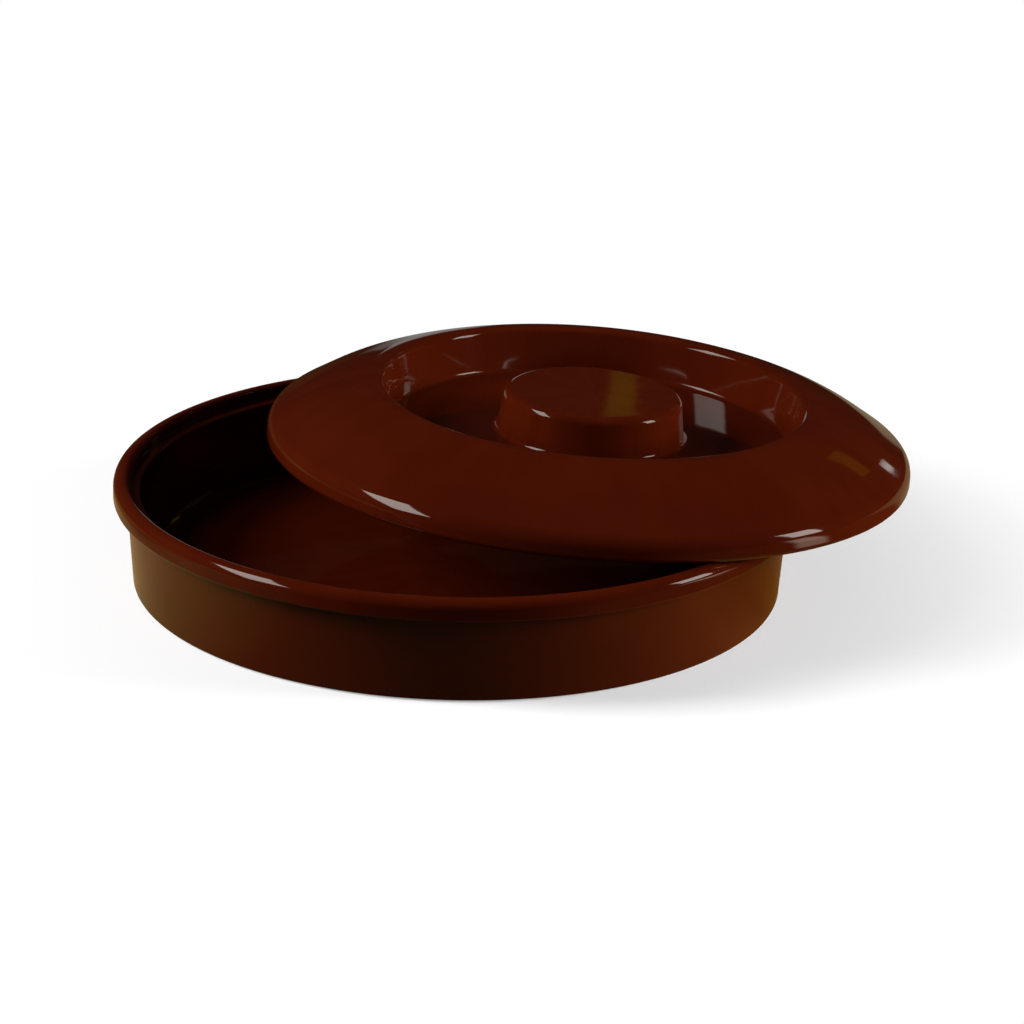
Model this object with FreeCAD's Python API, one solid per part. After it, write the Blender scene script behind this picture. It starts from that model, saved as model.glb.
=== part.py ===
import FreeCAD, Part
import math
import os

# Tortilla warmer: a shallow round dish and a domed lid with a sunk knob, each moulded in one piece.
# Millimetres, +Z up. The origin is the centre of the dish's foot, on the table.
# The lid stands ajar: slid off the dish's ledge, with its edge resting on the rim at two places
# and the underside of its well resting on the rim between them.

# Dish
DISH_HEIGHT = 30.9
FOOT_RADIUS = 92.2
FOOT_EDGE = 0.8             # rounding of the foot's outer edge
BODY_RADIUS = 94.0          # outside of the wall, just under the rim band
RIM_RADIUS = 97.8
RIM_BAND = 6.2              # height of the thick band round the rim
RIM_UNDERCUT = 1.2          # fillet between the wall and the band's lower face
RIM_LOWER_EDGE = 0.8
RIM_OUTER_ROUND = 2.8
RIM_INNER_ROUND = 1.4
RIM_MOUTH_RADIUS = 93.5     # inside of the rim, above the ledge
LEDGE_DEPTH = 4.0           # from the rim's top down to the ledge that takes the lid
LEDGE_RADIUS = 90.2         # inner edge of the ledge
LEDGE_CORNER = 0.6
LEDGE_EDGE = 0.8
DISH_FLOOR = 3.4
DISH_FLOOR_RADIUS = 88.4    # inside of the wall at the floor, before the fillet
DISH_FLOOR_FILLET = 5.0

# Lid, in its own frame: its axis is Z, and its edge stands on Z = 0.
LID_WALL = 3.4
LID_RADIUS = 92.8
LID_BOTTOM_EDGE = 1.8       # rounding of the outer edge's lower corner
LID_INNER_EDGE = 0.8
LID_SHOULDER = 6.2          # height where the edge turns into the dome
LID_SHOULDER_ROUND = 4.9
LID_FLANK_RADIUS = 78.1     # where the dome's two slopes meet in a large round
LID_FLANK_HEIGHT = 15.6
LID_FLANK_ROUND = 60.0
CREST_HEIGHT = 19.8
CREST_RADIUS = 65.2
CREST_ROUND = 10.0
WELL_MOUTH_RADIUS = 60.8
WELL_MOUTH_ROUND = 1.8
WELL_FLOOR = 7.2
WELL_FLOOR_RADIUS = 57.6
WELL_FILLET = 1.4
KNOB_TOP = 19.3
KNOB_RADIUS = 25.5
KNOB_EDGE_ROUND = 2.5
KNOB_BASE_RADIUS = 27.1
KNOB_FILLET = 1.5
SMALLEST_ROUND = 0.6

# Where the lid rests
LID_SHIFT = 42.0            # how far its axis is off the dish's axis
LID_SHIFT_DIRECTION = 27.5  # degrees from +X towards +Y
LID_TILT = 3.4              # degrees, down towards the side it is slid to
LID_EDGE_HEIGHT = 30.6      # centre of its edge's plane, above the table


def direction(start, end):
    """Unit vector from one (r, z) point to another."""
    length = math.dist(start[:2], end[:2])
    return (end[0] - start[0]) / length, (end[1] - start[1]) / length


def turn_at(before, corner, after):
    """Signed angle that an outline turns through at a corner, in radians, positive to the left."""
    ahead, onward = direction(before, corner), direction(corner, after)
    return math.atan2(ahead[0] * onward[1] - ahead[1] * onward[0],
                      ahead[0] * onward[0] + ahead[1] * onward[1])


def beside(corners, gap):
    """The outline that runs a distance to the right of the given one, for a wall of even thickness."""
    first, last = corners[0], corners[-1]
    moved = []
    for before, corner, after in zip(corners, corners[1:], corners[2:]):
        ahead, turn = direction(before, corner), turn_at(before, corner, after)
        slide = gap * math.tan(turn / 2)
        radius = corner[2] + gap if turn > 0 else max(corner[2] - gap, SMALLEST_ROUND)
        moved.append((corner[0] + ahead[1] * gap + ahead[0] * slide,
                      corner[1] - ahead[0] * gap + ahead[1] * slide, radius))
    start, end = direction(first, corners[1]), direction(corners[-2], last)
    return ([(first[0] + start[1] * gap, first[1] - start[0] * gap, 0)] + moved
            + [(last[0] + end[1] * gap, last[1] - end[0] * gap, 0)])


def on_section(r, z):
    return FreeCAD.Vector(r, 0, z)


def rounded_edges(corners):
    """Straight edges through (r, z, radius) corners, with a tangent arc of that radius at each."""
    edges = []
    reached = on_section(*corners[0][:2])
    for before, corner, after in zip(corners, corners[1:], corners[2:]):
        ahead, onward = direction(before, corner), direction(corner, after)
        turn = turn_at(before, corner, after)
        radius = corner[2]
        reach = radius * abs(math.tan(turn / 2))
        arc_start = on_section(corner[0] - ahead[0] * reach, corner[1] - ahead[1] * reach)
        arc_end = on_section(corner[0] + onward[0] * reach, corner[1] + onward[1] * reach)
        inwards = on_section(onward[0] - ahead[0], onward[1] - ahead[1]).normalize()
        arc_middle = on_section(*corner[:2]) + inwards * (radius / math.cos(turn / 2) - radius)
        edges.append(Part.LineSegment(reached, arc_start).toShape())
        edges.append(Part.Arc(arc_start, arc_middle, arc_end).toShape())
        reached = arc_end
    edges.append(Part.LineSegment(reached, on_section(*corners[-1][:2])).toShape())
    return edges


def turned(corners):
    """Solid turned about Z from an outline that starts and ends on the axis."""
    edges = rounded_edges(corners)
    edges.append(Part.LineSegment(on_section(*corners[-1][:2]), on_section(*corners[0][:2])).toShape())
    section = Part.Face(Part.Wire(edges))
    return section.revolve(FreeCAD.Vector(0, 0, 0), FreeCAD.Vector(0, 0, 1), 360)


def make_dish():
    band_bottom = DISH_HEIGHT - RIM_BAND
    ledge_height = DISH_HEIGHT - LEDGE_DEPTH
    return turned([
        (0, 0, 0),
        (FOOT_RADIUS, 0, FOOT_EDGE),
        (BODY_RADIUS, band_bottom, RIM_UNDERCUT),
        (RIM_RADIUS, band_bottom, RIM_LOWER_EDGE),
        (RIM_RADIUS, DISH_HEIGHT, RIM_OUTER_ROUND),
        (RIM_MOUTH_RADIUS, DISH_HEIGHT, RIM_INNER_ROUND),
        (RIM_MOUTH_RADIUS, ledge_height, LEDGE_CORNER),
        (LEDGE_RADIUS, ledge_height, LEDGE_EDGE),
        (DISH_FLOOR_RADIUS, DISH_FLOOR, DISH_FLOOR_FILLET),
        (0, DISH_FLOOR, 0),
    ])


def lid_top():
    """The lid's upper face, from the middle of the knob out to the bottom of the edge."""
    return [
        (0, KNOB_TOP, 0),
        (KNOB_RADIUS, KNOB_TOP, KNOB_EDGE_ROUND),
        (KNOB_BASE_RADIUS, WELL_FLOOR, KNOB_FILLET),
        (WELL_FLOOR_RADIUS, WELL_FLOOR, WELL_FILLET),
        (WELL_MOUTH_RADIUS, CREST_HEIGHT, WELL_MOUTH_ROUND),
        (CREST_RADIUS, CREST_HEIGHT, CREST_ROUND),
        (LID_FLANK_RADIUS, LID_FLANK_HEIGHT, LID_FLANK_ROUND),
        (LID_RADIUS, LID_SHOULDER, LID_SHOULDER_ROUND),
        (LID_RADIUS, 0, 0),
    ]


def make_lid():
    top = lid_top()
    underside = beside(top, LID_WALL)[::-1]
    outer_foot = (LID_RADIUS, 0, LID_BOTTOM_EDGE)
    inner_foot = (LID_RADIUS - LID_WALL, 0, LID_INNER_EDGE)
    return turned(top[:-1] + [outer_foot, inner_foot] + underside[1:])


def set_ajar(lid):
    """Tilt the lid about its own centre and slide it to where it rests on the rim."""
    heading = math.radians(LID_SHIFT_DIRECTION)
    towards = FreeCAD.Vector(math.cos(heading), math.sin(heading), 0)
    tilt_axis = FreeCAD.Vector(-towards.y, towards.x, 0)
    place = towards * LID_SHIFT + FreeCAD.Vector(0, 0, LID_EDGE_HEIGHT)
    lid.Placement = FreeCAD.Placement(place, FreeCAD.Rotation(tilt_axis, LID_TILT))
    return lid


os.makedirs("parts", exist_ok=True)
make_dish().exportStep("parts/dish.step")
set_ajar(make_lid()).exportStep("parts/lid.step")
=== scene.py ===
"""Tortilla warmer: a round dish and a loose domed lid with a sunk knob, in glossy brown plastic.

The section of each moulding is drawn in edit mode, one straight run and one arc after the other, and
turned about its axis. Lengths are in metres, and +Z is up from the centre of the dish's foot.
"""

import math
from collections import namedtuple

import bpy
from mathutils import Matrix, Vector


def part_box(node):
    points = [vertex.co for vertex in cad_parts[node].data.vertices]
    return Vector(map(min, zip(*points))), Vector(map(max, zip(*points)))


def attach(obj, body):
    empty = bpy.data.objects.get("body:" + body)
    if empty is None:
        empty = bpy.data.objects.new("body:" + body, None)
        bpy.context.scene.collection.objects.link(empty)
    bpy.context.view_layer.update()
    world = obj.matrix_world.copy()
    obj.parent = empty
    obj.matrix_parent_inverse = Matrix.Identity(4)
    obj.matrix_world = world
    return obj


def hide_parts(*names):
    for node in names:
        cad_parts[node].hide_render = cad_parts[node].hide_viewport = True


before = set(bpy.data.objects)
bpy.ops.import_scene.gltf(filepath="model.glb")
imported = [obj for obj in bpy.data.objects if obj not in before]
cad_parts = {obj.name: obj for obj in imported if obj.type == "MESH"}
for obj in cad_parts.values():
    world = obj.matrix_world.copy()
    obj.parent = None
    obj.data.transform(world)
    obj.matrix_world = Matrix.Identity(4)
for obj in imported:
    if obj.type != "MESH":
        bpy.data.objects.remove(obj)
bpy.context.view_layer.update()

bl_info = {
    "name": "Tortilla warmer",
    "version": (1, 0, 0),
    "blender": (4, 5, 0),
    "location": "3D View > Sidebar > Warmer",
    "description": "Builds a round lidded serving dish, its finish and a small studio",
    "category": "Add Mesh",
}

DISH_TOP_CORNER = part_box("dish")[1]

MM = 0.001
TURN_STEPS = 256        # facets round each moulding
ARC_FACET = math.radians(7.5)
ARC_CHORD = 1.3 * MM    # longest facet along a large round
FEWEST_ARC_FACETS = 3
MOST_ARC_FACETS = 14
EDGE_RUN = 0.16 * MM    # short facet that keeps a flat run flat up to its rounds
WELD = 0.001 * MM

# rounds of the dish
FOOT_EDGE = 0.8 * MM
RIM_UNDERCUT = 1.2 * MM         # between the wall and the rim band's lower face
RIM_LOWER_EDGE = 0.8 * MM
RIM_OUTER_ROUND = 2.8 * MM
RIM_INNER_ROUND = 1.4 * MM
LEDGE_CORNER = 0.6 * MM
LEDGE_EDGE = 0.8 * MM
DISH_FLOOR_FILLET = 5.0 * MM

# rounds of the lid
KNOB_EDGE_ROUND = 2.5 * MM
KNOB_FILLET = 1.5 * MM
WELL_FILLET = 1.4 * MM
WELL_MOUTH_ROUND = 1.8 * MM
CREST_ROUND = 10.0 * MM
FLANK_ROUND = 60.0 * MM         # where the dome's two slopes meet
SHOULDER_ROUND = 4.9 * MM
LID_BOTTOM_EDGE = 1.8 * MM
LID_INNER_EDGE = 0.8 * MM
SMALLEST_ROUND = 0.6 * MM       # sharpest round that the underside of the lid may have

# the plastic: how far each pattern is stretched, round the axis and along the section
PLASTIC_IOR = 1.5
FLOW_STRETCH = (1.6, 9.0)
RING_STRETCH = (0.7, 900.0)
# the scale, detail and roughness of each noise
FLOW_NOISE = (3.2, 4.0, 0.55)
HANDLED_NOISE = (26.0, 4.0, 0.62)
RING_NOISE = (1.4, 2.0, 0.6)
SWELL_NOISE = (95.0, 1.0, 0.4)
# the noise values between which each mark comes up
FLOW_MARKS = (0.32, 0.68)
HANDLED_PATCHES = (0.48, 0.72)
SCUFF_RINGS = (0.58, 0.74)
# the relief: how much the slight waviness and the scuff rings count in it
SWELL_RELIEF = 0.9
RING_RELIEF = 0.10
RELIEF_STRENGTH = 0.10
RELIEF_DEPTH = 0.4 * MM
# the heights between which scuffing comes and goes
FOOT_SCUFF_ENDS = (0.2 * MM, 1.2 * MM)
FLOOR_SCUFF_STARTS = (3.0 * MM, 3.3 * MM)
FLOOR_SCUFF_ENDS = (3.6 * MM, 5.5 * MM)
FLOOR_SCUFF = 0.5               # next to the scuffing under the foot
LID_SCUFF_ENDS = (0.1 * MM, 1.4 * MM)


# ---------------------------------------------------------------- sizes and colours


def length(name, description, default):
    return bpy.props.FloatProperty(
        name=name, description=description, default=default, precision=5,
        subtype="DISTANCE", unit="LENGTH")


def angle(name, description, default):
    return bpy.props.FloatProperty(
        name=name, description=description, default=default, subtype="ANGLE", unit="ROTATION")


def colour(name, description, default):
    return bpy.props.FloatVectorProperty(
        name=name, description=description, default=default, subtype="COLOR", min=0.0, max=1.0)


def share(name, description, default):
    return bpy.props.FloatProperty(
        name=name, description=description, default=default, subtype="FACTOR", min=0.0, max=1.0)


def strength(name, description, default):
    return bpy.props.FloatProperty(name=name, description=description, default=default, min=0.0)


class DishSizes(bpy.types.PropertyGroup):
    """Sizes of the dish."""

    height: length("Height", "From the table to the top of the rim", DISH_TOP_CORNER.z)
    rim_radius: length("Rim radius", "Outside of the rim band", DISH_TOP_CORNER.x)
    body_radius: length("Body radius", "Outside of the wall under the rim band", 94.0 * MM)
    foot_radius: length("Foot radius", "Outside of the wall at the table", 92.2 * MM)
    rim_band: length("Rim band", "Height of the thick band round the rim", 6.2 * MM)
    mouth_radius: length("Mouth radius", "Inside of the rim above the ledge", 93.5 * MM)
    ledge_depth: length("Ledge depth", "From the rim's top down to the ledge", 4.0 * MM)
    ledge_radius: length("Ledge radius", "Inner edge of the ledge", 90.2 * MM)
    floor: length("Floor", "Thickness of the floor", 3.4 * MM)
    floor_radius: length("Floor radius", "Inside of the wall at the floor", 88.4 * MM)


class LidSizes(bpy.types.PropertyGroup):
    """Sizes of the lid, in its own frame, and where it rests."""

    wall: length("Wall", "Thickness of the moulding", 3.4 * MM)
    radius: length("Radius", "Outside of the lid's edge", 92.8 * MM)
    shoulder: length("Shoulder", "Height where the edge turns into the dome", 6.2 * MM)
    flank_radius: length("Flank radius", "Where the dome's two slopes meet", 78.1 * MM)
    flank_height: length("Flank height", "Height where the dome's two slopes meet", 15.6 * MM)
    crest_radius: length("Crest radius", "Where the dome's crest turns down", 65.2 * MM)
    crest_height: length("Crest height", "Height of the dome's crest", 19.8 * MM)
    mouth_radius: length("Well radius", "Mouth of the sunk well", 60.8 * MM)
    floor_radius: length("Well floor radius", "Foot of the well's wall", 57.6 * MM)
    floor_height: length("Well floor", "Height of the well's floor", 7.2 * MM)
    knob_radius: length("Knob radius", "Top edge of the knob", 25.5 * MM)
    knob_base: length("Knob base radius", "Foot of the knob", 27.1 * MM)
    knob_top: length("Knob top", "Height of the knob's flat top", 19.3 * MM)
    shift: length("Shift", "How far the lid is slid off the dish's axis", 42.0 * MM)
    heading: angle(
        "Heading", "Which way the lid is slid, from the right towards the back", math.radians(27.5))
    tilt: angle(
        "Tilt", "How far the lid leans towards the side it is slid to", math.radians(3.4))
    edge_height: length("Edge height", "Centre of the lid's edge above the table", 30.6 * MM)


class PlasticLook(bpy.types.PropertyGroup):
    """Finish of the brown plastic."""

    body: colour("Plastic", "Colour of the plastic", (0.0530, 0.0056, 0.0010))
    deep: colour("Deep", "Colour of the darker flow marks", (0.0470, 0.0046, 0.0008))
    gloss: share("Roughness", "Roughness of the clean gloss", 0.055)
    smudge: share("Smudges", "How much duller handled places are", 0.045)
    scuff: share("Scuffs", "How much duller scuffed places are", 0.22)


class StudioLook(bpy.types.PropertyGroup):
    """Floor, lamps and surroundings."""

    floor: colour("Floor", "Colour of the pale floor", (0.95, 0.95, 0.95))
    bounce: colour("Bounce", "Colour that the floor throws up at the warmer", (0.08, 0.04, 0.02))
    sky: colour("Background", "Colour behind everything", (1.0, 1.0, 1.0))
    fill: share("Fill", "Soft light from all round", 0.048)
    lamps: strength("Lamps", "Light that the lamps throw on the warmer", 1.0)
    gleam: strength("Gleam", "Brightness of the soft boxes in the gloss", 1.0)


# ---------------------------------------------------------------- adding things


def added(name, operator, **values):
    """Add one thing while everything else is deselected, and name it."""
    bpy.ops.object.select_all(action="DESELECT")
    operator(**values)
    thing = bpy.context.object
    thing.name = name
    return thing


def shape_all(thing):
    """Go into edit mode with the whole mesh selected."""
    bpy.context.view_layer.objects.active = thing
    bpy.ops.object.mode_set(mode="EDIT")
    bpy.ops.mesh.select_all(action="SELECT")


# ---------------------------------------------------------------- drawing a section


def heading_of(start, end):
    """Unit direction from one corner to the next in the section's plane."""
    along = Vector(end[:2]) - Vector(start[:2])
    return along.normalized()


def turn_at(before, corner, after):
    """Angle that the outline turns through at a corner, positive to the left."""
    ahead = heading_of(before, corner)
    onward = heading_of(corner, after)
    return math.atan2(ahead.x * onward.y - ahead.y * onward.x, ahead.dot(onward))


def beside(corners, gap):
    """The outline a distance to the right of the given one, for a wall of even thickness."""
    first, last = corners[0], corners[-1]
    start, end = heading_of(first, corners[1]), heading_of(corners[-2], last)
    moved = [(first[0] + start.y * gap, first[1] - start.x * gap, 0)]
    for before, corner, after in zip(corners, corners[1:], corners[2:]):
        ahead, turn = heading_of(before, corner), turn_at(before, corner, after)
        slide = gap * math.tan(turn / 2)
        radius = corner[2] + gap if turn > 0 else max(corner[2] - gap, SMALLEST_ROUND)
        moved.append((corner[0] + ahead.y * gap + ahead.x * slide,
                      corner[1] - ahead.x * gap + ahead.y * slide, radius))
    moved.append((last[0] + end.y * gap, last[1] - end.x * gap, 0))
    return moved


def pen_down(name, corner):
    """A new mesh with a single vertex, selected in edit mode, at a corner of the section."""
    piece = added(name, bpy.ops.mesh.primitive_plane_add, size=MM, location=(0, 0, 0))
    piece.data.name = name
    shape_all(piece)
    bpy.ops.mesh.merge(type="CENTER")
    bpy.ops.transform.translate(value=(corner[0], 0, corner[1]))
    return piece


def run(step):
    """Extrude the selected vertex along a straight step."""
    bpy.ops.mesh.extrude_region_move(TRANSFORM_OT_translate={"value": (step.x, 0, step.y)})


def straight(start, end):
    """A straight run with a short facet at each end."""
    along = end - start
    ends = along.normalized() * min(EDGE_RUN, along.length / 4)
    run(ends)
    run(along - 2 * ends)
    run(ends)


def arc(start, ahead, turn, radius):
    """Spin the selected vertex round a corner."""
    side = math.copysign(1, turn)
    centre = start + Vector((-ahead.y, ahead.x)) * side * radius
    facets = max(
        FEWEST_ARC_FACETS, math.ceil(abs(turn) / ARC_FACET),
        math.ceil(radius * abs(turn) / ARC_CHORD))
    bpy.ops.mesh.spin(
        steps=min(facets, MOST_ARC_FACETS), angle=turn,
        center=(centre.x, 0, centre.y), axis=(0, 1, 0))


def turned(name, corners):
    """Draw the section through (r, z, round) corners and spin it about Z into a closed moulding."""
    piece = pen_down(name, corners[0])
    reached = Vector(corners[0][:2])
    for before, corner, after in zip(corners, corners[1:], corners[2:]):
        ahead, turn = heading_of(before, corner), turn_at(before, corner, after)
        reach = corner[2] * abs(math.tan(turn / 2))
        arc_start = Vector(corner[:2]) - ahead * reach
        straight(reached, arc_start)
        arc(arc_start, ahead, turn, corner[2])
        reached = Vector(corner[:2]) + heading_of(corner, after) * reach
    straight(reached, Vector(corners[-1][:2]))
    bpy.ops.mesh.select_all(action="SELECT")
    bpy.ops.mesh.spin(steps=TURN_STEPS, angle=math.tau, center=(0, 0, 0), axis=(0, 0, 1))
    bpy.ops.mesh.select_all(action="SELECT")
    bpy.ops.mesh.remove_doubles(threshold=WELD)
    bpy.ops.mesh.normals_make_consistent(inside=False)
    bpy.ops.object.mode_set(mode="OBJECT")
    bpy.ops.object.shade_smooth()
    return piece


# ---------------------------------------------------------------- shader nodes


COLOUR_A, COLOUR_B, COLOUR_RESULT = 6, 7, 2     # sockets of a Mix node that mixes colours


def opaque(shade):
    return (*shade, 1.0)


class Wire:
    """An output socket that takes part in sums."""

    def __init__(self, sheet, socket):
        self.sheet = sheet
        self.socket = socket

    def maths(self, operation, *values):
        return self.sheet.node("ShaderNodeMath", list(values), operation=operation)["Value"]

    def __add__(self, other):
        return self.maths("ADD", self, other)

    def __radd__(self, other):
        return self.maths("ADD", other, self)

    def __sub__(self, other):
        return self.maths("SUBTRACT", self, other)

    def __rsub__(self, other):
        return self.maths("SUBTRACT", other, self)

    def __mul__(self, other):
        return self.maths("MULTIPLY", self, other)

    def __rmul__(self, other):
        return self.maths("MULTIPLY", other, self)

    def __truediv__(self, other):
        return self.maths("DIVIDE", self, other)

    def __pow__(self, other):
        return self.maths("POWER", self, other)


class Outputs:
    """A node whose outputs are read by name or by order."""

    def __init__(self, sheet, node):
        self.sheet = sheet
        self.made = node

    def __getitem__(self, name):
        return Wire(self.sheet, self.made.outputs[name])


class Sheet:
    """Adds nodes to one node tree."""

    def __init__(self, tree):
        self.tree = tree
        tree.nodes.clear()

    def node(self, kind, sockets=None, **settings):
        """One node: its settings are set first, then its sockets, by name or in order."""
        made = self.tree.nodes.new(kind)
        for name, value in settings.items():
            if name == "stops":
                self.set_stops(made.color_ramp, value)
            else:
                setattr(made, name, value)
        named = dict(enumerate(sockets)) if isinstance(sockets, list) else (sockets or {})
        for name, value in named.items():
            self.plug(made.inputs[name], value)
        return Outputs(self, made)

    def plug(self, socket, value):
        if isinstance(value, Wire):
            self.tree.links.new(value.socket, socket)
        else:
            socket.default_value = value

    def set_stops(self, ramp, stops):
        while len(ramp.elements) < len(stops):
            ramp.elements.new(1.0)
        for element, (position, shade) in zip(ramp.elements, stops):
            element.position = position
            element.color = opaque(shade)

    def smooth(self, value, between, start=0.0, end=1.0):
        """start below the first of two values, end above the second, and a soft step between."""
        return self.node(
            "ShaderNodeMapRange",
            {"Value": value, "From Min": between[0], "From Max": between[1],
             "To Min": start, "To Max": end}, interpolation_type="SMOOTHSTEP")["Result"]

    def noise(self, where, grain):
        scale, detail, roughness = grain
        return self.node(
            "ShaderNodeTexNoise",
            {"Vector": where, "Scale": scale, "Detail": detail, "Roughness": roughness},
            noise_dimensions="3D")["Fac"]

    def mixed(self, factor, first, second):
        """A colour between two colours."""
        return self.node(
            "ShaderNodeMix", {"Factor": factor, COLOUR_A: first, COLOUR_B: second},
            data_type="RGBA")[COLOUR_RESULT]

    def object_place(self):
        return self.node("ShaderNodeTexCoord")["Object"]

    def vector(self, x, y, z):
        return self.node("ShaderNodeCombineXYZ", {"X": x, "Y": y, "Z": z})["Vector"]

    def parts(self, vector):
        made = self.node("ShaderNodeSeparateXYZ", {"Vector": vector})
        return made["X"], made["Y"], made["Z"]

    def light_path(self):
        """One where the background shows as it is: to the camera, in gloss and through glass."""
        ray = self.node("ShaderNodeLightPath")
        return ray["Is Camera Ray"] + ray["Is Glossy Ray"] + ray["Is Transmission Ray"]


def new_material(name):
    material = bpy.data.materials.new(name)
    material.use_nodes = True
    return material, Sheet(material.node_tree)


def paint(piece, material):
    piece.data.materials.clear()
    piece.data.materials.append(material)


# ---------------------------------------------------------------- plastic


def brown_plastic(name, place, worn):
    """Glossy injection-moulded plastic. place puts the pattern on the moulding's own axis, and worn
    is a function of the sheet and the height that gives where the piece is scuffed."""
    look = bpy.context.scene.warmer_plastic
    material, sheet = new_material(name)
    own = sheet.node(
        "ShaderNodeMapping",
        {"Vector": sheet.object_place(),
         "Location": place.to_translation(), "Rotation": place.to_euler()},
        vector_type="TEXTURE")["Vector"]
    x, y, z = sheet.parts(own)
    radius = (x * x + y * y) ** 0.5
    turn = x.maths("ARCTAN2", y, x)

    def stretched(round_axis, along):
        return sheet.vector(turn * round_axis, radius * along, z * along)

    # the melt runs outwards from the middle, so the flow marks are long along the radius
    flow = sheet.noise(stretched(*FLOW_STRETCH), FLOW_NOISE)
    tint = sheet.mixed(sheet.smooth(flow, FLOW_MARKS), opaque(look.deep), opaque(look.body))

    handled = sheet.smooth(sheet.noise(own, HANDLED_NOISE), HANDLED_PATCHES)
    rings = sheet.noise(stretched(*RING_STRETCH), RING_NOISE)
    scuffed = sheet.smooth(rings, SCUFF_RINGS) * worn(sheet, z)
    roughness = look.gloss + look.smudge * handled + look.scuff * scuffed

    relief = sheet.noise(own, SWELL_NOISE) * SWELL_RELIEF + rings * scuffed * RING_RELIEF
    bump = sheet.node(
        "ShaderNodeBump",
        {"Strength": RELIEF_STRENGTH, "Distance": RELIEF_DEPTH, "Height": relief})["Normal"]
    surface = sheet.node(
        "ShaderNodeBsdfPrincipled",
        {"Base Color": tint, "Roughness": roughness, "IOR": PLASTIC_IOR, "Normal": bump})
    sheet.node("ShaderNodeOutputMaterial", {"Surface": surface["BSDF"]})
    return material


def dish_wear(sheet, z):
    """The dish is scuffed under its foot and, less, on its floor."""
    foot = sheet.smooth(z, FOOT_SCUFF_ENDS, 1.0, 0.0)
    floor = sheet.smooth(z, FLOOR_SCUFF_STARTS) * sheet.smooth(z, FLOOR_SCUFF_ENDS, 1.0, 0.0)
    return foot + floor * FLOOR_SCUFF


def lid_wear(sheet, z):
    """The lid is scuffed along the bottom of its edge."""
    return sheet.smooth(z, LID_SCUFF_ENDS, 1.0, 0.0)


# ---------------------------------------------------------------- the two mouldings


def dish_section(size):
    """(r, z, round) corners of the dish, from the middle of its foot to the middle of its floor."""
    band_bottom = size.height - size.rim_band
    ledge = size.height - size.ledge_depth
    return [
        (0, 0, 0),
        (size.foot_radius, 0, FOOT_EDGE),
        (size.body_radius, band_bottom, RIM_UNDERCUT),
        (size.rim_radius, band_bottom, RIM_LOWER_EDGE),
        (size.rim_radius, size.height, RIM_OUTER_ROUND),
        (size.mouth_radius, size.height, RIM_INNER_ROUND),
        (size.mouth_radius, ledge, LEDGE_CORNER),
        (size.ledge_radius, ledge, LEDGE_EDGE),
        (size.floor_radius, size.floor, DISH_FLOOR_FILLET),
        (0, size.floor, 0),
    ]


def lid_section(size):
    """(r, z, round) corners of the lid, from the top of its knob round its edge to its underside."""
    top = [
        (0, size.knob_top, 0),
        (size.knob_radius, size.knob_top, KNOB_EDGE_ROUND),
        (size.knob_base, size.floor_height, KNOB_FILLET),
        (size.floor_radius, size.floor_height, WELL_FILLET),
        (size.mouth_radius, size.crest_height, WELL_MOUTH_ROUND),
        (size.crest_radius, size.crest_height, CREST_ROUND),
        (size.flank_radius, size.flank_height, FLANK_ROUND),
        (size.radius, size.shoulder, SHOULDER_ROUND),
        (size.radius, 0, 0),
    ]
    underside = beside(top, size.wall)[::-1]
    edge = [(size.radius, 0, LID_BOTTOM_EDGE), (size.radius - size.wall, 0, LID_INNER_EDGE)]
    return top[:-1] + edge + underside[1:]


def lid_place(size):
    """Where the lid rests ajar."""
    towards = Vector((math.cos(size.heading), math.sin(size.heading), 0))
    lean = Matrix.Rotation(size.tilt, 4, Vector((-towards.y, towards.x, 0)))
    return Matrix.Translation(towards * size.shift + Vector((0, 0, size.edge_height))) @ lean


class WARMER_OT_dish(bpy.types.Operator):
    """Model the dish and give it its finish"""

    bl_idname = "warmer.dish"
    bl_label = "Dish"

    def execute(self, context):
        piece = turned("serving_dish", dish_section(context.scene.warmer_dish))
        paint(piece, brown_plastic("dish_plastic", Matrix.Identity(4), dish_wear))
        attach(piece, "dish")
        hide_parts("dish")
        return {"FINISHED"}


class WARMER_OT_lid(bpy.types.Operator):
    """Model the lid, set it ajar on the dish and give it its finish"""

    bl_idname = "warmer.lid"
    bl_label = "Lid"

    def execute(self, context):
        size = context.scene.warmer_lid
        place = lid_place(size)
        piece = turned("domed_lid", lid_section(size))
        piece.matrix_world = place
        bpy.ops.object.transform_apply(location=True, rotation=True, scale=True)
        paint(piece, brown_plastic("lid_plastic", place, lid_wear))
        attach(piece, "lid")
        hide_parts("lid")
        return {"FINISHED"}


# ---------------------------------------------------------------- studio


LENS = 154.65           # in millimetres, as is the sensor
SENSOR = 36.0
CAMERA_DISTANCE = 1.2615
CAMERA_ELEVATION = math.radians(21.31)
CAMERA_ROLL = math.radians(1.22)
IMAGE = 1024
ORIGIN_ACROSS = 456.2   # where the centre of the foot lands in the image, in pixels
ORIGIN_DOWN = 575.8

FLOOR_RADIUS = 4.0
FLOOR_DROP = 0.3 * MM   # the floor lies this far below the foot
SHADOW_FADES = (0.10, 0.24)     # from its axis out, the warmer's shadow fades between these
BARE_BY_DISH = 0.35             # share of plain background in the floor close to the dish
ROOM_RADIUS = 3.2
ROOM_CUT = -1 * MM
ROOM_COLOUR = (1.0, 0.9, 0.8)
ROOM_GLOW = 0.006
ROOM_SIDES, ROOM_RINGS, DISC_SIDES = 48, 24, 96
LAMP_POWER = 4          # watts of an area lamp, for each square metre and each unit of brightness

# where a lamp or a card stands round the warmer: azimuth (0 behind, 90 to the right) and elevation
# in degrees, distance, width and length, and how far it leans in degrees
Spot = namedtuple("Spot", "azimuth elevation distance width tall lean")

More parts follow.
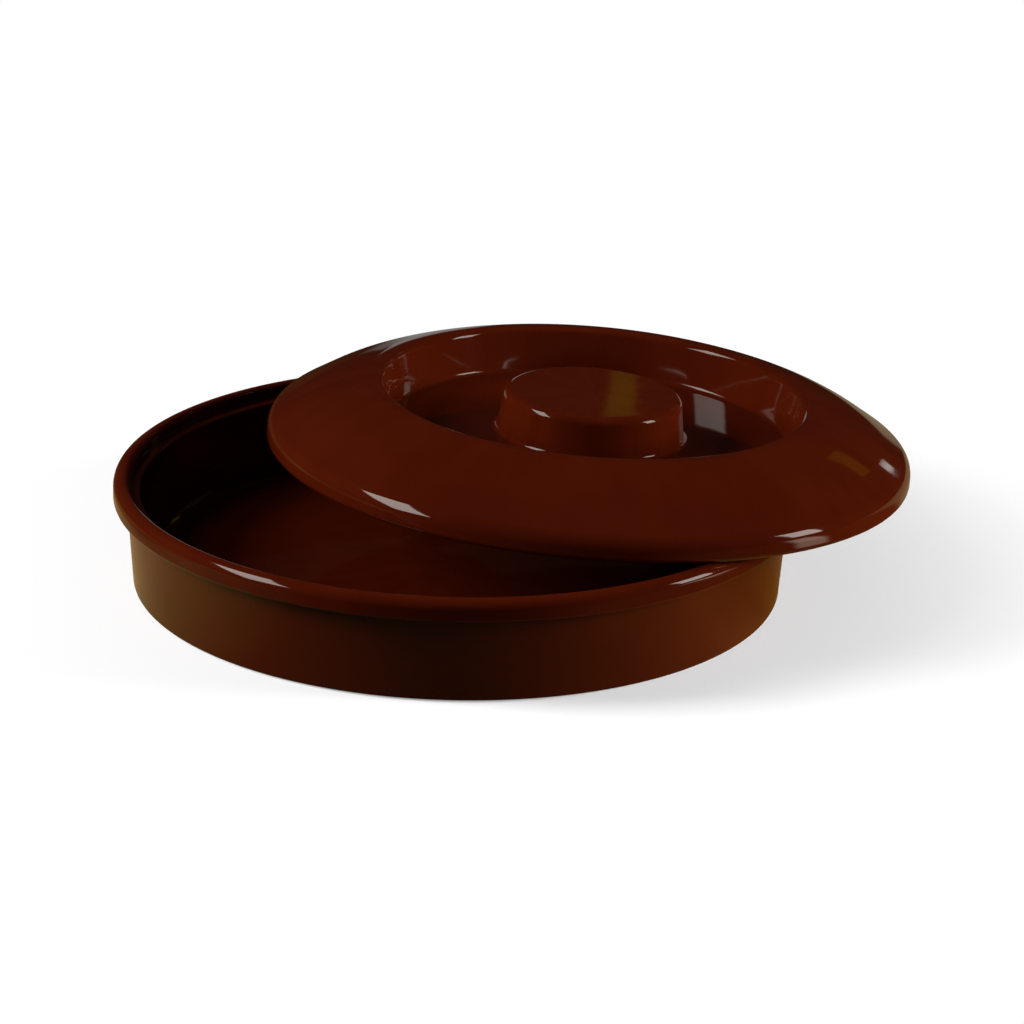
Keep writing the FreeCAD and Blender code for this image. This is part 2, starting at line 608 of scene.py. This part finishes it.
# with the light that each throws on the warmer
LAMPS = {
    "left_lamp": (Spot(-95, 29, 1.3, 0.50, 0.60, 0), 1.17),
    "right_lamp": (Spot(92, 17, 1.3, 0.60, 0.40, 0), 1.19),
    "high_lamp": (Spot(-100, 55, 1.3, 0.40, 0.40, 0), 0.12),
}
# with the colour and the brightness of each in the gloss
SOFT_BOXES = {
    "left_soft_box": (Spot(-103.4, 36.8, 1.2, 0.34, 0.84, 43), (1.0, 0.93, 0.86), 4.4),
    "right_soft_box": (Spot(98.8, 18.9, 1.2, 0.275, 0.44, -4), (1.0, 0.93, 0.84), 4.7),
}
# glowing cards seen in the gloss alone: painted reflections of pale and amber things round the warmer,
# and a painted highlight of a small lamp
CARDS = {
    "pale_board": (Spot(-2.2, 5.3, 1.2, 0.12, 0.25, 0), (0.97, 1.0, 0.94), 0.40),
    "amber_glint": (Spot(6.3, 17.4, 1.2, 0.016, 0.035, 0), (1.0, 0.66, 0.06), 0.13),
    "amber_card": (Spot(35.6, 23.6, 1.2, 0.19, 0.095, 32), (1.0, 0.50, 0.04), 0.17),
    "small_glint": (Spot(33.6, 12.5, 1.2, 0.008, 0.075, 38), (1.0, 1.0, 0.95), 1.6),
}
# painted reflection of the lit table in the gloss, its glow by azimuth: close round the dish, and
# farther out
NEAR_PAINTED_REFLECTION = {
    -180: (0.10, 0.05, 0.02), -158: (0.07, 0.055, 0.02), -143: (0.07, 0.06, 0.02),
    -130: (0.17, 0.165, 0.05), -117: (0.25, 0.23, 0.065), -96: (0.40, 0.265, 0.11),
    -65: (0.35, 0.22, 0.09), 60: (0.22, 0.11, 0.07), 92: (0.17, 0.08, 0.01),
    106: (0.17, 0.08, 0.01), 121: (0.38, 0.14, 0.03), 136: (0.28, 0.10, 0.03),
    151: (0.20, 0.07, 0.02), 180: (0.10, 0.05, 0.02),
}
FAR_PAINTED_REFLECTION = {
    -180: (0.03, 0.02, 0.01), -145: (0.02, 0.01, 0.01), -110: (0.20, 0.15, 0.06),
    -88: (0.05, 0.03, 0.01), -65: (0.24, 0.14, 0.03), -48: (0.06, 0.04, 0.01),
    -6.0: (0.02, 0.01, 0.005), -5.2: (0.28, 0.28, 0.26), 0: (0.27, 0.27, 0.25),
    1: (0.01, 0.006, 0.003), 24: (0.012, 0.006, 0.003), 27: (0.24, 0.21, 0.13),
    49: (0.28, 0.21, 0.10), 70: (0.30, 0.20, 0.09), 76: (0.13, 0.03, 0.01),
    95: (0.20, 0.03, 0.005), 140: (0.10, 0.04, 0.01), 180: (0.03, 0.02, 0.01),
}
NEAR_TO_FAR = (0.128, 0.150)    # distances from the axis between which one goes over into the other
# painted reflection of a lamp in the table: a bright streak to the right, by its azimuth, half width,
# start and colour
LAMP_REFLECTION_AZIMUTH = math.radians(108)
LAMP_REFLECTION_HALF_WIDTH = (math.radians(3), math.radians(6))
LAMP_REFLECTION_STARTS = (0.15, 0.21)
LAMP_REFLECTION_COLOUR = (2.6, 1.9, 1.5)
FRONT_DARKENS = (-0.18, -0.13)  # the table is dim in front of these
FRONT_GLOW = 0.15


def lookout(azimuth, elevation):
    """Unit direction from the warmer towards an azimuth and an elevation."""
    a, e = math.radians(azimuth), math.radians(elevation)
    return Vector((math.sin(a) * math.cos(e), math.cos(a) * math.cos(e), math.sin(e)))


def aim(thing, spot):
    """Set a lamp or a card at its spot, facing the warmer."""
    towards = lookout(spot.azimuth, spot.elevation)
    facing = towards.to_track_quat("Z", "Y").to_matrix().to_4x4()
    lean = Matrix.Rotation(math.radians(spot.lean), 4, "Z")
    thing.matrix_world = Matrix.Translation(towards * spot.distance) @ facing @ lean


def add_lamp(name, spot, brightness, shade):
    """A rectangular area lamp that the camera doesn't see."""
    lamp = added(name, bpy.ops.object.light_add, type="AREA")
    lamp.data.shape = "RECTANGLE"
    lamp.data.size = spot.width
    lamp.data.size_y = spot.tall
    lamp.data.color = shade
    lamp.data.energy = LAMP_POWER * brightness * spot.width * spot.tall
    lamp.visible_camera = False
    aim(lamp, spot)
    return lamp


def add_lamps(look):
    """The lamps that light the warmer, and the soft boxes that its gloss mirrors."""
    for name, (spot, light) in LAMPS.items():
        spread = math.pi * spot.distance ** 2 / (spot.width * spot.tall)
        lamp = add_lamp(name, spot, look.lamps * light * spread, (1.0, 1.0, 1.0))
        lamp.visible_glossy = False
    for name, (spot, shade, gleam) in SOFT_BOXES.items():
        lamp = add_lamp(name, spot, look.gleam * gleam, shade)
        lamp.visible_diffuse = False


def add_camera(scene):
    """The camera looks down at the warmer, with the centre of the foot at its place in the image."""
    down = Vector((0, math.cos(CAMERA_ELEVATION), -math.sin(CAMERA_ELEVATION)))
    focal = LENS / SENSOR * IMAGE
    across = (ORIGIN_ACROSS - IMAGE / 2) / focal
    up = (IMAGE / 2 - ORIGIN_DOWN) / focal
    to_middle = Vector((across, up, -1)).rotation_difference(Vector((0, 0, -1)))
    camera = added("Camera", bpy.ops.object.camera_add)
    camera.matrix_world = (
        Matrix.Translation(-down * CAMERA_DISTANCE)
        @ down.to_track_quat("-Z", "Y").to_matrix().to_4x4()
        @ Matrix.Rotation(CAMERA_ROLL, 4, "Z")
        @ to_middle.to_matrix().to_4x4())
    camera.data.sensor_width = SENSOR
    camera.data.lens = LENS
    camera.data.dof.use_dof = False
    scene.camera = camera


def floor_material(look):
    """Pale with the warmer's shadow on it where it shows, and a dim tan bounce otherwise."""
    material, sheet = new_material("studio_floor")
    x, y, _ = sheet.parts(sheet.object_place())
    away = (x * x + y * y) ** 0.5
    pale = sheet.node("ShaderNodeBsdfDiffuse", {"Color": opaque(look.floor)})
    bare = sheet.node("ShaderNodeEmission", {"Color": opaque(look.sky), "Strength": 1.0})
    seen = sheet.node(
        "ShaderNodeMixShader",
        [sheet.smooth(away, SHADOW_FADES, BARE_BY_DISH, 1.0), pale["BSDF"], bare["Emission"]])
    bounce = sheet.node("ShaderNodeBsdfDiffuse", {"Color": opaque(look.bounce)})
    surface = sheet.node(
        "ShaderNodeMixShader", [sheet.light_path(), bounce["BSDF"], seen["Shader"]])
    sheet.node("ShaderNodeOutputMaterial", {"Surface": surface["Shader"]})
    return material


def table_reflection_material():
    """A glowing disc that paints the lit table's reflection in the gloss: tan at the sides, dim in
    front, with a painted reflection of a lamp as a streak to the right.
    """
    material, sheet = new_material("painted_table_reflection")
    x, y, _ = sheet.parts(sheet.object_place())
    away = (x * x + y * y) ** 0.5
    azimuth = x.maths("ARCTAN2", x, y)
    near, far = [
        sheet.node(
            "ShaderNodeValToRGB", {"Fac": azimuth / math.tau + 0.5},
            stops=[((degrees + 180) / 360, shade) for degrees, shade in reflected_glow.items()])["Color"]
        for reflected_glow in (NEAR_PAINTED_REFLECTION, FAR_PAINTED_REFLECTION)]
    # painted reflection: the table's glow, going over from the near colours to the far ones
    tint = sheet.mixed(sheet.smooth(away, NEAR_TO_FAR), near, far)
    # painted lamp reflection: a bright streak in the table's glow
    off_lamp_reflection = x.maths("ABSOLUTE", azimuth - LAMP_REFLECTION_AZIMUTH)
    lamp_reflection = (sheet.smooth(off_lamp_reflection, LAMP_REFLECTION_HALF_WIDTH, 1.0, 0.0)
              * sheet.smooth(away, LAMP_REFLECTION_STARTS))
    glow = sheet.node(
        "ShaderNodeEmission",
        {"Color": sheet.mixed(lamp_reflection, tint, opaque(LAMP_REFLECTION_COLOUR)),
         "Strength": sheet.smooth(y, FRONT_DARKENS, FRONT_GLOW, 1.0)})
    sheet.node("ShaderNodeOutputMaterial", {"Surface": glow["Emission"]})
    return material


def glow_material(name, shade, brightness):
    material, sheet = new_material(name)
    glow = sheet.node("ShaderNodeEmission", {"Color": opaque(shade), "Strength": brightness})
    sheet.node("ShaderNodeOutputMaterial", {"Surface": glow["Emission"]})
    return material


def only_in_gloss(thing, material):
    """A part of the studio that is seen in the gloss and nowhere else."""
    paint(thing, material)
    thing.visible_camera = False
    thing.visible_diffuse = False
    thing.visible_transmission = False
    thing.visible_volume_scatter = False
    thing.visible_shadow = False


def add_disc(name, radius, height):
    return added(
        name, bpy.ops.mesh.primitive_circle_add, vertices=DISC_SIDES, radius=radius,
        fill_type="NGON", location=(0, 0, height))


def add_room():
    """A dark room over the warmer, in the gloss alone: a painted dark reflection, so that a white
    surround doesn't wash it out.
    """
    room = added(
        "dark_room", bpy.ops.mesh.primitive_uv_sphere_add, segments=ROOM_SIDES,
        ring_count=ROOM_RINGS, radius=ROOM_RADIUS, location=(0, 0, 0))
    shape_all(room)
    bpy.ops.mesh.bisect(plane_co=(0, 0, ROOM_CUT), plane_no=(0, 0, 1), clear_inner=True)
    bpy.ops.mesh.select_all(action="SELECT")
    bpy.ops.mesh.normals_make_consistent(inside=True)
    bpy.ops.object.mode_set(mode="OBJECT")
    only_in_gloss(room, glow_material("dark_room", ROOM_COLOUR, ROOM_GLOW))


def add_cards():
    """Dim glowing cards round the warmer, in the gloss alone: painted reflections, and a painted
    highlight of a small lamp.
    """
    for name, (spot, shade, gleam) in CARDS.items():
        card = added(name, bpy.ops.mesh.primitive_plane_add, size=1.0)
        shape_all(card)
        bpy.ops.transform.resize(value=(spot.width, spot.tall, 1.0))
        bpy.ops.object.mode_set(mode="OBJECT")
        aim(card, spot)
        only_in_gloss(card, glow_material(name, shade, gleam))


def light_world(scene, look):
    """White where it shows, and a soft fill to everything else."""
    world = bpy.data.worlds.new("studio")
    world.use_nodes = True
    sheet = Sheet(world.node_tree)
    seen = sheet.node("ShaderNodeBackground", {"Color": opaque(look.sky), "Strength": 1.0})
    fill = sheet.node("ShaderNodeBackground", {"Color": opaque(look.sky), "Strength": look.fill})
    surface = sheet.node(
        "ShaderNodeMixShader", [sheet.light_path(), fill["Background"], seen["Background"]])
    sheet.node("ShaderNodeOutputWorld", {"Surface": surface["Shader"]})
    scene.world = world


class WARMER_OT_studio(bpy.types.Operator):
    """Add the floor, the lamps, the surroundings and the camera"""

    bl_idname = "warmer.studio"
    bl_label = "Studio"

    def execute(self, context):
        scene = context.scene
        look = scene.warmer_studio
        floor = add_disc("studio_floor", FLOOR_RADIUS, -FLOOR_DROP)
        paint(floor, floor_material(look))
        # a glowing disc just above the floor, seen in the gloss alone: painted reflection of a lit
        # table
        only_in_gloss(add_disc("painted_table_reflection", ROOM_RADIUS, -FLOOR_DROP / 2), table_reflection_material())
        add_room()
        add_cards()
        add_lamps(look)
        light_world(scene, look)
        add_camera(scene)
        scene.view_settings.view_transform = "Standard"
        return {"FINISHED"}


class WARMER_PT_panel(bpy.types.Panel):
    """Lists the pieces and their settings"""

    bl_idname = "WARMER_PT_panel"
    bl_label = "Tortilla warmer"
    bl_space_type = "VIEW_3D"
    bl_region_type = "UI"
    bl_category = "Warmer"

    def draw(self, context):
        scene = context.scene
        for operator, settings in (
                ("warmer.dish", scene.warmer_dish), ("warmer.lid", scene.warmer_lid),
                ("warmer.studio", scene.warmer_studio)):
            column = self.layout.column()
            column.operator(operator)
            for name in settings.__annotations__:
                column.prop(settings, name)
        column = self.layout.column()
        for name in scene.warmer_plastic.__annotations__:
            column.prop(scene.warmer_plastic, name)


CLASSES = (
    DishSizes, LidSizes, PlasticLook, StudioLook,
    WARMER_OT_dish, WARMER_OT_lid, WARMER_OT_studio, WARMER_PT_panel,
)
SETTINGS = {
    "warmer_dish": DishSizes, "warmer_lid": LidSizes,
    "warmer_plastic": PlasticLook, "warmer_studio": StudioLook,
}


def register():
    for made in CLASSES:
        bpy.utils.register_class(made)
    for name, group in SETTINGS.items():
        setattr(bpy.types.Scene, name, bpy.props.PointerProperty(type=group))


def unregister():
    for name in SETTINGS:
        delattr(bpy.types.Scene, name)
    for made in reversed(CLASSES):
        bpy.utils.unregister_class(made)


def main():
    register()
    bpy.ops.warmer.dish()
    bpy.ops.warmer.lid()
    bpy.ops.warmer.studio()


if __name__ == "__main__":
    main()
